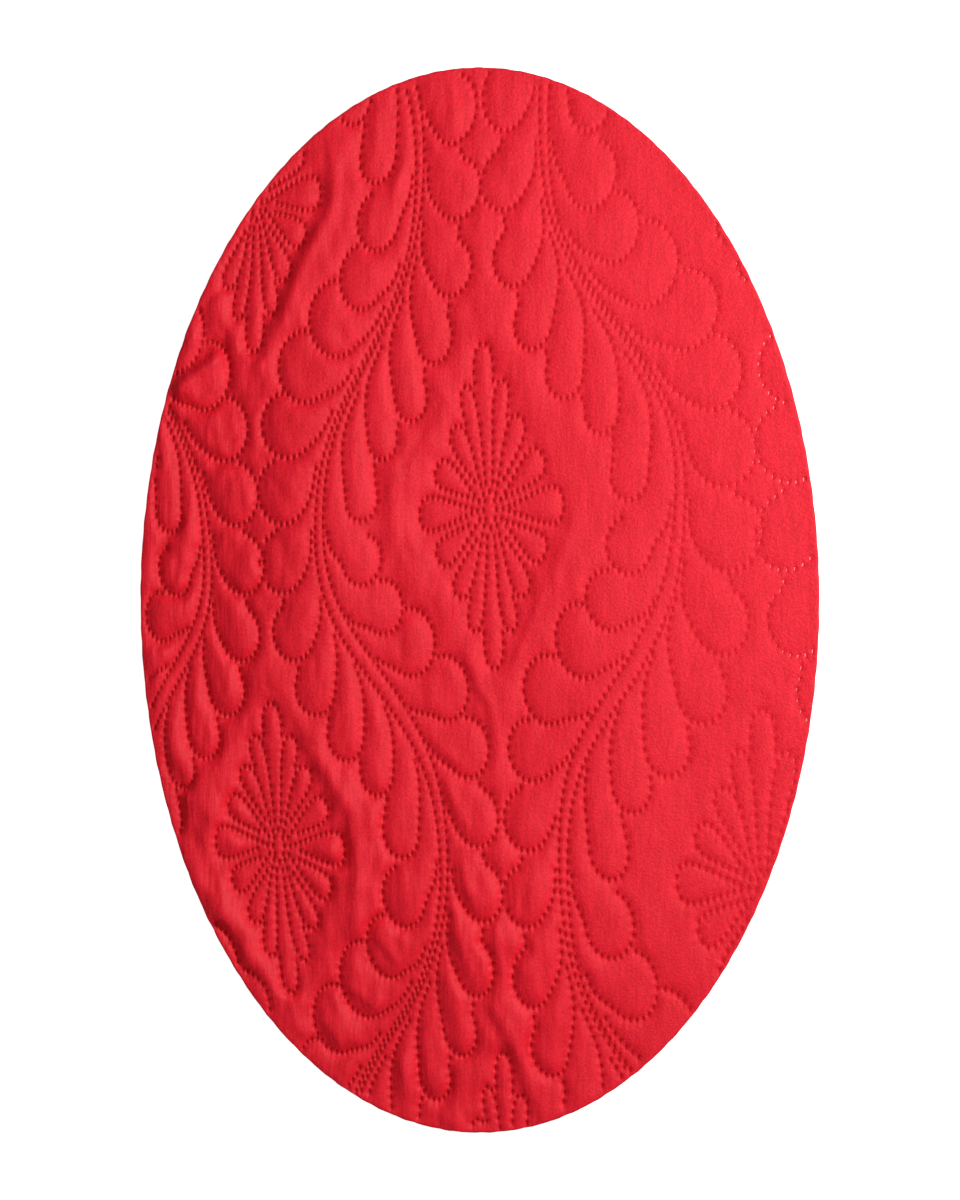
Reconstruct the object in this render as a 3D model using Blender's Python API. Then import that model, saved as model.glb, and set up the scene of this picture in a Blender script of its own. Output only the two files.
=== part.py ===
"""Quilted bedspread cloth: an oval cut length with a flower and feather design, lying in soft folds."""
from collections import namedtuple
import math

import bpy
import numpy as np
from mathutils import Vector
from mathutils.geometry import delaunay_2d_cdt

MM = 0.001                     # every size below is in millimetres

# The cut length
HALF_WIDTH = 190.4
HALF_LENGTH = 298.8
RIM_POINTS = 120

# The quilt's thickness
WELD_THICK = 1.4               # along a line of welds
PUFF_RISE = 4.6                # how far the filled cloth stands above its welds where it is loosest
PUFF_REACH = 3.4               # most of the rise is reached this far from a weld line
SLACK = 0.50                   # share of that rise in the middle
SLACK_SLOPE = 0.0018           # less of it to the right, for each millimetre
SLACK_LEAST = 0.25
LOOSE_LEFT = 0.25              # more of it at the left edge, eased in between two distances from the middle
LOOSE_LEFT_FROM = 90.0
LOOSE_LEFT_TO = 150.0
LOOSE_LOW = 0.40               # and at the bottom
LOOSE_LOW_FROM = 20.0
LOOSE_LOW_TO = 240.0
RIM_THICK = 2.4
RIM_FADE = 6.0                 # the puffs sink towards the cut edge over this distance

# Distances between points of the solid
WELD_STEP = 9.0
PETAL_STEP = 6.5
STEM_STEP = 12.0
CREST_STEP = 8.4               # between points on wide puffs
CREST_NARROW = 3.2             # on a narrow puff they are this much more than its half width apart
CREST_TRY = 2.8
CREST_CLEAR = 1.9              # a crest point keeps this far from a weld line
UNDER_STEP = 12.5
UNDER_ROOM = 6.0               # from points across a fold to others of the underside
SNAP = 1.8                     # weld points nearer than this are one point
RIM_CLEAR = 4.0                # weld lines end this far inside the cut edge

# The lie of the cloth: where it stands clear of the surface below it
TOUCH = 1.2                    # lifts below this lie flat on the surface
Swell = namedtuple("Swell", "across along reach_across reach_along lift")
SWELLS = (
    Swell(-92, 40, 42, 150, 7.5),
    Swell(5, -175, 68, 85, 6.0),
    Swell(20, 190, 90, 60, 3.6),
    Swell(72, -60, 42, 110, 3.8),
)
# A fold is a step that rises to the right of a path down the cloth, FOLDS in both faces, CREASES in the upper
Fold = namedtuple("Fold", "reach rise path")
FOLDS = (
    # beside the upper left flower
    Fold(3.8, 1.5, ((-88, 268), (-86, 250), (-85, 225), (-92, 208), (-100, 195), (-108, 175), (-115, 155),
                    (-127, 138))),
    # beside the lower left flower, and the upright one below it
    Fold(3.5, 1.0, ((-110, -60), (-101, -77), (-92, -92), (-84, -104), (-78, -115), (-74, -128), (-73, -142))),
    Fold(3.5, 0.9, ((-74, -126), (-72, -150), (-71, -175), (-74, -200))),
    # right of the left vine
    Fold(4.5, 0.9, ((-58, 92), (-53, 70), (-52, 50), (-50, 20))),
    # fall along the left edge
    Fold(6.0, 1.8, ((-189, -20), (-185, -60), (-181, -84), (-176, -104))),
    Fold(9.0, 2.2, ((-172, -84), (-167, -104), (-162, -122), (-157, -138), (-150, -156))),
    Fold(6.0, 2.4, ((-158, -158), (-149, -177), (-137, -197), (-128, -214), (-121, -236))),
    Fold(5.0, 1.8, ((-160, 165), (-167, 142), (-172, 120), (-176, 98))),
)
CREASES = (
    Fold(2.6, 0.8, ((-141, 142), (-139, 125), (-137, 110), (-131, 100), (-129, 85), (-128, 70))),
    Fold(4.0, 2.7, ((-135, 151), (-149, 138.5), (-160, 130), (-170, 122), (-182, 113))),
    Fold(2.3, 0.65, ((-16, -20), (-8, -35), (-6, -45), (-2, -52), (4, -58), (6, -75), (5, -100))),
    Fold(3.2, 0.9, ((-3, -220), (12, -240), (18, -255), (25, -275), (27, -290))),
    Fold(2.5, 0.7, ((-43, 290), (-45, 250), (-50, 232), (-52, 218))),
    Fold(2.2, 0.6, ((2, 188), (-10, 170), (-15, 160), (-18, 134))),
    Fold(2.5, 0.8, ((-169, -56), (-166, -78), (-156, -92))),
    Fold(3.0, 0.9, ((-34, -76), (-15, -95), (-5, -100))),
    Fold(3.0, 0.9, ((-24, -100), (-9, -134))),
)
PATH_STEP = 1.5                # between points of a fold's path
PATH_ROUNDS = 12               # times that its corners are rounded
FOLD_EVERY = 7                 # path points between two rows of the solid's points across a fold
FOLD_SHARES = (-2.2, -1.0, 0.0, 1.0, 2.2)    # where those stand, in reaches from the path
PATH_FADE = 0.25               # a fold fades in and out over this share of its path

# The quilting chart, in squares: a flower every ACROSS, each column of them half a repeat lower
ACROSS = 240.0
ALONG = 345.0
TALL = 1.35                    # a round leaf end is this much taller than wide in squares
VINE_SWING = 64.0
VINE_SHARPEN = 4.0
STEM_POINTS = 90
STEM_SIDE = 8.0                # from the stem's middle to where a leaf's side joins it
SLIM = 0.88                    # width of the leaves that face the middle column of flowers
HEAD_POINTS = 28               # on a leaf's round end
SIDE_POINTS = 24               # on its side
SIDE_LEAVES = 0.4              # reach of the side's curve at the round end, as a share of its length
SIDE_ARRIVES = 0.5             # and at the vine
JOINT_POINTS = 10              # from the leaf above to the round end
JOINT_LEAVES = 0.4
JOINT_ARRIVES = 0.35
Leaf = namedtuple("Leaf", "foot head_across head_along radius first last joins")    # joins: on the leaf above
LEAVES = (
    Leaf(337, -104, 302, 23.0, 110, 340, None),
    Leaf(245, -125, 250, 23.5, 85, 300, None),
    Leaf(208, -153, 213, 29.0, 82, 298, None),
    Leaf(150, -188, 167, 27.0, 75, 292, None),
    Leaf(112, -208, 109, 25.0, 88, 302, 225),
    Leaf(60, -215, 41, 25.0, 110, 318, 245),
    Leaf(-5, -218, -34, 24.5, 111, 320, 262),
    Leaf(-58, -210, -110, 22.5, 122, 327, 265),
    Leaf(-88, -191, -173, 21.0, 150, 348, 275),
    Leaf(-122, -161, -224, 20.0, 160, 355, 305),
    Leaf(-162, -128, -262, 18.0, 170, 355, 310),
    Leaf(-205, -104, -323, 19.0, 165, 355, 310),
)
Petal = namedtuple("Petal", "tip_across tip_along half_width")
PETALS = (
    Petal(74, 0, 15.0),
    Petal(55, 47, 12.0),
    Petal(35, 85, 10.5),
    Petal(20, 121, 9.0),
    Petal(0, 158, 11.5),
)
PETAL_ROOT = 13.0
PETAL_POINTS = 20              # on each side
PETAL_BELLY = 0.5              # the first curve point, as shares of the length and of the half width
PETAL_TIP = 1.65               # the second one, beside the tip
KNOT_ACROSS = 6.5
KNOT_ALONG = 14.0
KNOT_POINTS = 13

# How the chart lies on the cloth
PLACE = (3.4, 49.7)            # the middle flower
SQUARE = (0.5617, 0.5776)      # one square's width and height there
LEAN = (-0.0216, 0.0108)
SPREAD = (0.000431, 0.000015)  # squares grow towards the right and the top
PULL_REACH = 24.0
PULL_HOLD = 0.15
Pull = namedtuple("Pull", "across along pull_across pull_along")
PULLS = (
    # left edge
    Pull(-126, 216, 0.5, -2), Pull(-122, 156, -2.5, -1), Pull(-146, 128, -8, -1), Pull(-144, 94, -16, -2),
    Pull(-162, 56, -10, 0), Pull(-128, 100, -13, -2), Pull(-134, 60, -11, -4), Pull(-131, 17, -8.5, -5),
    Pull(-165, -22, -8, 0), Pull(-131, -28, -6.5, -5),
    Pull(-143, -67, -6.5, -3), Pull(-137, -140, -4.5, -2), Pull(-109, -140, -0.5, -0.5),
    # left vine
    Pull(-60, 241, 2.5, -4.5), Pull(-70, 168, 3, -5), Pull(-100, 118, 3, -4.5), Pull(-104, 93, 8, -5),
    Pull(-108, 62, 2.5, -8), Pull(-110, 9, 0, -5), Pull(-111, -32, 0, -4), Pull(-86, -64, 1.5, -0.5),
    Pull(-59, -112, 1, 0.5),
    Pull(-75, -140, 0.5, 1), Pull(-53, -173, 2, 0), Pull(-73, -224, 3, -2), Pull(-47, -240, 5.5, -1),
    Pull(-22, -269, 1.5, 1.5),
    # middle
    Pull(-40, 272, 5, 0), Pull(-28, 208, 1.5, 3), Pull(-19, 157, 1, 3), Pull(12, 263, 5, 4.5),
    Pull(14, 196, 4.5, 4), Pull(-48, 92, 4, -2), Pull(-59, 56, 3.5, 0), Pull(5, 51, 2, 1),
    Pull(-64, 6, 2, 3), Pull(-39, -39, 2, 3.5), Pull(-17, -95, 2, 3), Pull(-5, -151, 2, 3),
    Pull(-2, -185, 1, 4), Pull(-2, -229, 0.5, 3),
    # right vine
    Pull(38, 252, 6, 1), Pull(62, 263, 4, 3), Pull(50, 202, 2.5, 1.5), Pull(67, 185, 1, 1.5),
    Pull(48, 112, 0, 3), Pull(84, 67, -1, 2), Pull(81, 6, -3.5, 5), Pull(53, -45, 1, 4.5),
    Pull(67, -78, -1.5, 1), Pull(34, -101, 2, 3), Pull(25, -145, 1, 3.5), Pull(25, -190, 0.5, 4),
    Pull(37, -229, -4, 1.5), Pull(42, -269, -5, 0), Pull(67, -240, -5.5, -2), Pull(90, -226, -3.5, -6),
    Pull(79, -190, -1, -2),
    # right edge
    Pull(123, 196, 1, 0), Pull(101, 146, -2, 2), Pull(132, 95, -0.5, 2), Pull(108, 23, -4, 2),
    Pull(177, 56, 4.5, 2), Pull(146, 0, -1, 1), Pull(112, -112, -2, 1), Pull(157, -157, -3, 0),
)
COLUMNS = range(-2, 3)
REPEATS = range(-1, 2)

SCARLET = (0.79, 0.024, 0.042, 1.0)
CLOTH_ROUGHNESS = 0.75


def bezier(start, first, second, end, count):
    """Points of a cubic curve."""
    t = np.linspace(0, 1, count)[:, None]
    corners = [np.array(p, float) for p in (start, first, second, end)]
    weights = ((1 - t) ** 3, 3 * (1 - t) ** 2 * t, 3 * (1 - t) * t ** 2, t ** 3)
    return sum(w * c for w, c in zip(weights, corners))


def unit(vector):
    """A chart direction of length one, with squares counted by their true shape."""
    return vector / math.hypot(vector[0], vector[1] / TALL)


def vine_across(along):
    """Where the vine stands at a height of the chart."""
    turn = math.pi * along / ALONG
    return -ACROSS / 2 - VINE_SWING * math.cos(turn) + VINE_SHARPEN * math.cos(3 * turn)


def vine_rise(along):
    """The vine's direction, upwards."""
    return unit(np.array([(vine_across(along + 1) - vine_across(along - 1)) / 2, 1.0]))


def head_points(leaf, slim, turn):
    """Places on the round end of a leaf."""
    wide = leaf.radius * slim
    return np.c_[leaf.head_across + wide * np.cos(turn), leaf.head_along + TALL * wide * np.sin(turn)]


def leaf_line(leaf, above, slim):
    """One leaf's welds: from the leaf above it round its free end, then back along its side to the vine."""
    turn = np.radians(np.linspace(leaf.first, leaf.last, HEAD_POINTS))
    end = head_points(leaf, slim, turn)
    if leaf.joins:
        start = head_points(above, slim, np.radians([leaf.joins]))[0]
        arrive = unit(end[1] - end[0]) * math.hypot(*(end[0] - start)) * JOINT_ARRIVES
        joint = bezier(start, start + (end[0] - start) * JOINT_LEAVES, end[0] - arrive, end[0], JOINT_POINTS)
        end = np.vstack([joint[:-1], end])
    leave = unit(np.array([-math.sin(turn[-1]), TALL * math.cos(turn[-1])]))
    rise = vine_rise(leaf.foot)
    aside = unit(np.array([rise[1] / TALL, -rise[0] * TALL]))
    foot = np.array([vine_across(leaf.foot), leaf.foot]) - aside * STEM_SIDE
    gap = math.hypot(foot[0] - end[-1][0], (foot[1] - end[-1][1]) / TALL)
    first, second = end[-1] + leave * gap * SIDE_LEAVES, foot - rise * gap * SIDE_ARRIVES
    side = bezier(end[-1], first, second, foot, SIDE_POINTS)
    return np.vstack([end, side[1:]])


def petal_line(petal):
    """One petal's welds, from its root round the tip and back."""
    length = math.hypot(petal.tip_across, petal.tip_along / TALL)
    out = np.array([petal.tip_across, petal.tip_along / TALL]) / length
    aside = np.array([-out[1], out[0]]) * petal.half_width
    root = out * PETAL_ROOT
    tip = out * length
    belly = root + out * (length - PETAL_ROOT) * PETAL_BELLY
    halves = [bezier(root, belly + aside * s * PETAL_BELLY, tip + aside * s * PETAL_TIP, tip, PETAL_POINTS)
              for s in (1, -1)]
    line = np.vstack([halves[0], halves[1][::-1][1:]])
    line[:, 1] *= TALL
    return line


def flower_lines():
    """The flower's sixteen petals and its knot."""
    lines = []
    for petal in PETALS:
        for flip_across in ((1,) if petal.tip_across == 0 else (1, -1)):
            for flip_along in ((1,) if petal.tip_along == 0 else (1, -1)):
                lines.append(petal_line(petal) * [flip_across, flip_along])
    turn = np.linspace(0, 2 * math.pi, KNOT_POINTS)
    lines.append(np.c_[KNOT_ACROSS * np.cos(turn), KNOT_ALONG * np.sin(turn)])
    return lines


def vine_lines():
    """One repeat of a vine: its stem, the leaves on its left, and the same leaves turned to its right."""
    heights = np.linspace(-ALONG, ALONG, STEM_POINTS)
    stem = np.array([[vine_across(h), h] for h in heights])
    lines = [(stem, STEM_STEP)]
    for above, leaf in zip((None,) + LEAVES, LEAVES):
        lines.append((leaf_line(leaf, above, 1.0), WELD_STEP))
        turned = leaf_line(leaf, above, SLIM)
        lines.append((np.c_[-ACROSS - turned[:, 0], turned[:, 1] - ALONG], WELD_STEP))
    return lines


def chart_lines():
    """Every weld line of the design, in squares, with the step between its points."""
    lines = []
    for column in COLUMNS:
        for repeat in REPEATS:
            middle = [ACROSS * column, ALONG * (column % 2) + 2 * ALONG * repeat]
            lines += [(line + middle, PETAL_STEP) for line in flower_lines()]
            for line, step in vine_lines():
                side = 1 if column % 2 == 0 else -1
                shift = ACROSS * column if side == 1 else ACROSS * (column - 1)
                lines.append((np.c_[side * line[:, 0] + shift, line[:, 1] + 2 * ALONG * repeat], step))
    return lines


def lay(squares):
    """Chart squares to places on the cloth, with the cloth's own pulls."""
    across, along = squares[:, 0], squares[:, 1]
    near = 1 - SPREAD[0] * across - SPREAD[1] * along
    even = np.c_[PLACE[0] + SQUARE[0] * across + LEAN[0] * along,
                 PLACE[1] + LEAN[1] * across + SQUARE[1] * along] / near[:, None]
    rows = np.array(PULLS, float)
    away = ((even[:, None, :] - rows[None, :, :2]) ** 2).sum(2)
    weight = np.exp(-away / (2 * PULL_REACH ** 2))
    return even + weight @ rows[:, 2:] / (weight.sum(1)[:, None] + PULL_HOLD)


def stepped(line, step):
    """A line's points at even steps."""
    far = np.r_[0, np.cumsum(np.hypot(*np.diff(line, axis=0).T))]
    count = max(2, int(round(far[-1] / step)) + 1)
    at = np.linspace(0, far[-1], count)
    return np.c_[np.interp(at, far, line[:, 0]), np.interp(at, far, line[:, 1])]


def inside(points, margin):
    """Which points lie at least a margin inside the oval."""
    wide, long = HALF_WIDTH - margin, HALF_LENGTH - margin
    return (points[:, 0] / wide) ** 2 + (points[:, 1] / long) ** 2 < 1


def weld_runs():
    """The weld lines on the cloth, cut off at the oval, each a run of points."""
    runs = []
    for line, step in chart_lines():
        points = lay(line)
        if not inside(points, RIM_CLEAR).any():
            continue
        points = stepped(points, step)
        within = inside(points, RIM_CLEAR)
        breaks = np.flatnonzero(np.diff(within.astype(int))) + 1
        for part, kept in zip(np.split(points, breaks), np.split(within, breaks)):
            if kept[0] and len(part) > 1:
                runs.append(part)
    return runs


def joined_points(runs):
    """One list of weld points, near ones made one, and the edges between them."""
    points = []
    edges = set()
    for run in runs:
        last = None
        for place in run:
            index = None
            if points:
                away = np.hypot(*(np.array(points) - place).T)
                if away.min() < SNAP:
                    index = int(away.argmin())
            if index is None:
                index = len(points)
                points.append(place)
            if last is not None and last != index:
                edges.add((min(last, index), max(last, index)))
            last = index
    return np.array(points), sorted(edges)


def line_distance(places, starts, ends):
    """Each place's distance to the nearest of many straight lines."""
    along = ends - starts
    length = (along ** 2).sum(1)
    best = np.full(len(places), np.inf)
    for block in range(0, len(places), 500):
        part = places[block:block + 500]
        gap = part[:, None, :] - starts[None]
        t = np.clip((gap * along).sum(2) / length, 0, 1)
        away = np.sqrt(((gap - t[..., None] * along) ** 2).sum(2))
        best[block:block + 500] = away.min(1)
    return best


def hex_points(step, margin):
    """Evenly spread points inside the oval."""
    row = step * math.sqrt(3) / 2
    rows = int(HALF_LENGTH / row) + 1
    cells = int(HALF_WIDTH / step) + 1
    places = [((i + 0.5 * (j % 2)) * step, j * row)
              for j in range(-rows, rows + 1) for i in range(-cells - 1, cells + 1)]
    places = np.array(places)
    return places[inside(places, margin)]


def fold_path(row):
    """The points of a fold's path, its corners rounded, and its direction at each."""
    path = stepped(np.array(row.path, float), PATH_STEP)
    for _ in range(PATH_ROUNDS):
        path[1:-1] = (path[:-2] + 2 * path[1:-1] + path[2:]) / 4
    run = np.gradient(path, axis=0)
    return path, run / np.hypot(*run.T)[:, None]


def fold_points():
    """Points across the folds of the whole cloth, close enough to carry their shape."""
    rows = []
    for row in FOLDS:
        path, run = fold_path(row)
        aside = np.c_[-run[:, 1], run[:, 0]]
        rows += [(path + aside * share * row.reach)[::FOLD_EVERY] for share in FOLD_SHARES]
    places = np.vstack(rows)
    return places[inside(places, RIM_CLEAR)]


def apart(places, others, room):
    """The places that are farther than a distance from all of the others."""
    return places[((places[:, None] - others[None]) ** 2).sum(2).min(1) > room ** 2]


def crest_points(starts, ends):
    """Points on the puffs: the places farthest from the welds first, then wherever there is room."""
    places = hex_points(CREST_TRY, RIM_CLEAR)
    away = line_distance(places, starts, ends)
    kept = fold_points()
    kept = kept[line_distance(kept, starts, ends) > CREST_CLEAR]
    for index in np.argsort(-away):
        if away[index] < CREST_CLEAR:
            break
        room = min(CREST_STEP, away[index] + CREST_NARROW)
        if np.hypot(*(kept - places[index]).T).min() > room:
            kept = np.vstack([kept, places[index]])
    return kept


def steps(places, rows):
    """How high the folds stand, each fading out at both ends of its path."""
    total = np.zeros(len(places))
    for row in rows:
        path, run = fold_path(row)
        gap = places[:, None] - path[None]
        spot = (gap ** 2).sum(2).argmin(1)
        gap, run = gap[np.arange(len(places)), spot], run[spot]
        side = (gap[:, 1] * run[:, 0] - gap[:, 0] * run[:, 1]) / row.reach
        to_end = np.minimum(spot, len(path) - 1 - spot) / (PATH_FADE * len(path))
        total += row.rise * side * np.exp(0.5 - side ** 2 / 2) * np.clip(to_end, 0, 1)
    return total


def lift(places):
    """Height of the cloth's underside above the surface that it lies on."""
    total = np.zeros(len(places))
    for swell in SWELLS:
        across = (places[:, 0] - swell.across) / swell.reach_across
        along = (places[:, 1] - swell.along) / swell.reach_along
        total += swell.lift * np.exp(-(across ** 2 + along ** 2))
    return np.maximum(0.0, np.maximum(0.0, total - TOUCH) + steps(places, FOLDS))


def edge_distance(places):
    """About how far each place lies inside the cut edge."""
    share = np.sqrt((places[:, 0] / HALF_WIDTH) ** 2 + (places[:, 1] / HALF_LENGTH) ** 2)
    return (1 - share) * np.hypot(*places.T) / np.maximum(share, 0.2)


def slack(places):
    """How full the puffs stand, as a share: less to the right, more at the left edge and the bottom."""
    across, along = places.T
    at_left = np.clip((-across - LOOSE_LEFT_FROM) / (LOOSE_LEFT_TO - LOOSE_LEFT_FROM), 0, 1)
    at_bottom = np.clip((-along - LOOSE_LOW_FROM) / (LOOSE_LOW_TO - LOOSE_LOW_FROM), 0, 1)
    return np.maximum(SLACK - SLACK_SLOPE * across, SLACK_LEAST) + LOOSE_LEFT * at_left + LOOSE_LOW * at_bottom


def thickness(places, starts, ends):
    """The quilt's thickness: thin along the welds, puffed between them, thin again at the cut edge."""
    full = 1 - np.exp(-line_distance(places, starts, ends) / PUFF_REACH)
    puff = PUFF_RISE * full * slack(places) + steps(places, CREASES) * full
    inner = 1 - np.exp(-np.maximum(edge_distance(places), 0) / RIM_FADE)
    return WELD_THICK + (RIM_THICK - WELD_THICK) * (1 - inner) + puff * inner


def triangles(places, edges):
    """A flat triangle net through the places that keeps the edges."""
    flat = [Vector((float(x), float(y))) for x, y in places]
    found, _, faces, _, _, _ = delaunay_2d_cdt(flat, edges, [], 0, 0.01)
    return np.array([(p.x, p.y) for p in found]), [tuple(face) for face in faces]


def rim_order(places):
    """The indices of the points on the cut edge, in turn."""
    share = (places[:, 0] / HALF_WIDTH) ** 2 + (places[:, 1] / HALF_LENGTH) ** 2
    rim = np.flatnonzero(share > 0.9995)
    turn = np.arctan2(places[rim, 1] / HALF_LENGTH, places[rim, 0] / HALF_WIDTH)
    return rim[np.argsort(turn)]


def quilted_cloth():
    """The cloth as one closed solid: quilted top, plain underside and cut edge."""
    turn = np.arange(RIM_POINTS) * 2 * math.pi / RIM_POINTS
    rim = np.c_[HALF_WIDTH * np.cos(turn), HALF_LENGTH * np.sin(turn)]
    rim_edges = [(i, (i + 1) % RIM_POINTS) for i in range(RIM_POINTS)]

    welds, weld_edges = joined_points(weld_runs())
    starts = welds[[a for a, _ in weld_edges]]
    ends = welds[[b for _, b in weld_edges]]
    places = np.vstack([rim, welds, crest_points(starts, ends)])
    edges = rim_edges + [(a + RIM_POINTS, b + RIM_POINTS) for a, b in weld_edges]
    top, top_faces = triangles(places, edges)
    top_height = lift(top) + thickness(top, starts, ends)

    across_folds = fold_points()
    between = apart(hex_points(UNDER_STEP, UNDER_STEP / 2), across_folds, UNDER_ROOM)
    under, under_faces = triangles(np.vstack([rim, across_folds, between]), rim_edges)
    under_height = lift(under)

    vertices = np.vstack([np.c_[top, top_height], np.c_[under, under_height]]) * MM
    first_under = len(top)
    faces = list(top_faces)
    faces += [tuple(first_under + i for i in reversed(face)) for face in under_faces]
    above = rim_order(top)
    below = rim_order(under) + first_under
    for i in range(RIM_POINTS):
        n = (i + 1) % RIM_POINTS
        faces.append((int(below[i]), int(below[n]), int(above[n])))
        faces.append((int(below[i]), int(above[n]), int(above[i])))

    mesh = bpy.data.meshes.new("quilted_cloth")
    mesh.from_pydata(vertices.tolist(), [], faces)
    mesh.validate()
    mesh.update()
    mesh.shade_smooth()
    return mesh


def cloth_material():
    """Scarlet brushed microfibre."""
    material = bpy.data.materials.new("scarlet_cloth")
    material.use_nodes = True
    shader = material.node_tree.nodes["Principled BSDF"]
    shader.inputs["Base Color"].default_value = SCARLET
    shader.inputs["Roughness"].default_value = CLOTH_ROUGHNESS
    shader.inputs["Metallic"].default_value = 0.0
    return material


def main():
    """Builds the bedspread cloth."""
    for item in list(bpy.data.objects):
        bpy.data.objects.remove(item)
    mesh = quilted_cloth()
    mesh.materials.append(cloth_material())
    cloth = bpy.data.objects.new("quilted_cloth", mesh)
    bpy.context.scene.collection.objects.link(cloth)
    print("triangles", len(mesh.polygons))


main()
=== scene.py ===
# Quilted bedspread cloth: a scarlet oval cut, puffed between welds in a flower and feather design.
import math
from collections import namedtuple

import bpy
import numpy as np
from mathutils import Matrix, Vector
from mathutils.geometry import delaunay_2d_cdt


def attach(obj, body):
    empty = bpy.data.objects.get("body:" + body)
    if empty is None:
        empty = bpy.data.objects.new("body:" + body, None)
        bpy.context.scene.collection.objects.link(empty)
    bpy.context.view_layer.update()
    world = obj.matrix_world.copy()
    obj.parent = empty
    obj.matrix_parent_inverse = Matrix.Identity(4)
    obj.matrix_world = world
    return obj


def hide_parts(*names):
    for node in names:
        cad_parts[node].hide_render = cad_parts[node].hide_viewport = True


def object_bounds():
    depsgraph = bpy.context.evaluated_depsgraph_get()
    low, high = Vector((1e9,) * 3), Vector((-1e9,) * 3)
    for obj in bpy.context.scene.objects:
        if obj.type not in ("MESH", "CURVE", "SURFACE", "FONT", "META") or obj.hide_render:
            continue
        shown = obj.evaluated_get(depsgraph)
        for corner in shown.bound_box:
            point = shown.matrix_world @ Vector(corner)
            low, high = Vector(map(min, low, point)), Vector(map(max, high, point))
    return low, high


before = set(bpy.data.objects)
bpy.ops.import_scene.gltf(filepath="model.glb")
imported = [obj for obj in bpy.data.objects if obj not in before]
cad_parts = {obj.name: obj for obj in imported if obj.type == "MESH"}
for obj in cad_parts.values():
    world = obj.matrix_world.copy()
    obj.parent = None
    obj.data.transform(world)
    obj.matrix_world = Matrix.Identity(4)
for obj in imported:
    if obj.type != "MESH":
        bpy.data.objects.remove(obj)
cadLow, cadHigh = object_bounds()
mm = 0.001
halfWidth, halfLength = cadHigh.x / mm, cadHigh.y / mm    # half the oval, in millimetres as all of the cloth


# The quilting chart, in squares: columns of flowers, with a vine of leaves between each two. A column
# repeats after twice "along", and every second one lies half a repeat higher.
chart = {
    "across": 240.0, "along": 345.0,
    "tall": 1.35,                          # a round leaf end is this much taller than wide in squares
    "vineSwing": 64.0, "vineSharpen": 4.0,
    "stemRowsApart": 8.0,                  # the vine is two rows of welds
    "leafJoinsAt": 8.0,                    # from the vine's middle to where a leaf's side joins it
    "slim": 0.88,                          # width of the leaves that face the middle column of flowers
    "petalRoot": 13.0, "knot": (6.5, 14.0),
    "weldAcross": 5.9, "weldAlong": 9.7,   # pitch of the welds across and along
    "columns": range(-2, 3), "repeats": range(-1, 2),
}
# A leaf has its foot on the vine and a round free end, drawn from one angle to the last.
# Where "joins" is given, its line starts at that angle of the leaf above.
Leaf = namedtuple("Leaf", "foot headAcross headAlong radius first last joins")
leaves = (
    Leaf(337, -104, 302, 23.0, 110, 340, None),
    Leaf(245, -125, 250, 23.5, 85, 300, None),
    Leaf(208, -153, 213, 29.0, 82, 298, None),
    Leaf(150, -188, 167, 27.0, 75, 292, None),
    Leaf(112, -208, 109, 25.0, 88, 302, 225),
    Leaf(60, -215, 41, 25.0, 110, 318, 245),
    Leaf(-5, -218, -34, 24.5, 111, 320, 262),
    Leaf(-58, -210, -110, 22.5, 122, 327, 265),
    Leaf(-88, -191, -173, 21.0, 150, 348, 275),
    Leaf(-122, -161, -224, 20.0, 160, 355, 305),
    Leaf(-162, -128, -262, 18.0, 170, 355, 310),
    Leaf(-205, -104, -323, 19.0, 165, 355, 310),
)
Petal = namedtuple("Petal", "tipAcross tipAlong halfWidth")
petals = (
    Petal(74, 0, 15.0), Petal(55, 47, 12.0), Petal(35, 85, 10.5),
    Petal(20, 121, 9.0), Petal(0, 158, 11.5),
)
curves = {
    # where the control points of a leaf's line lie, as shares of its way
    "towardHead": 0.4, "intoHead": 0.35, "outOfHead": 0.4, "alongVine": 0.5,
    # the same for a petal's belly, and the widths there and at the tip
    "bellyAt": 0.5, "bellyWide": 0.5, "tipWide": 1.65,
    "headPoints": 28, "joinPoints": 10, "sidePoints": 24,
    "petalPoints": 20, "knotPoints": 13, "stemPoints": 140,
}

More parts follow.
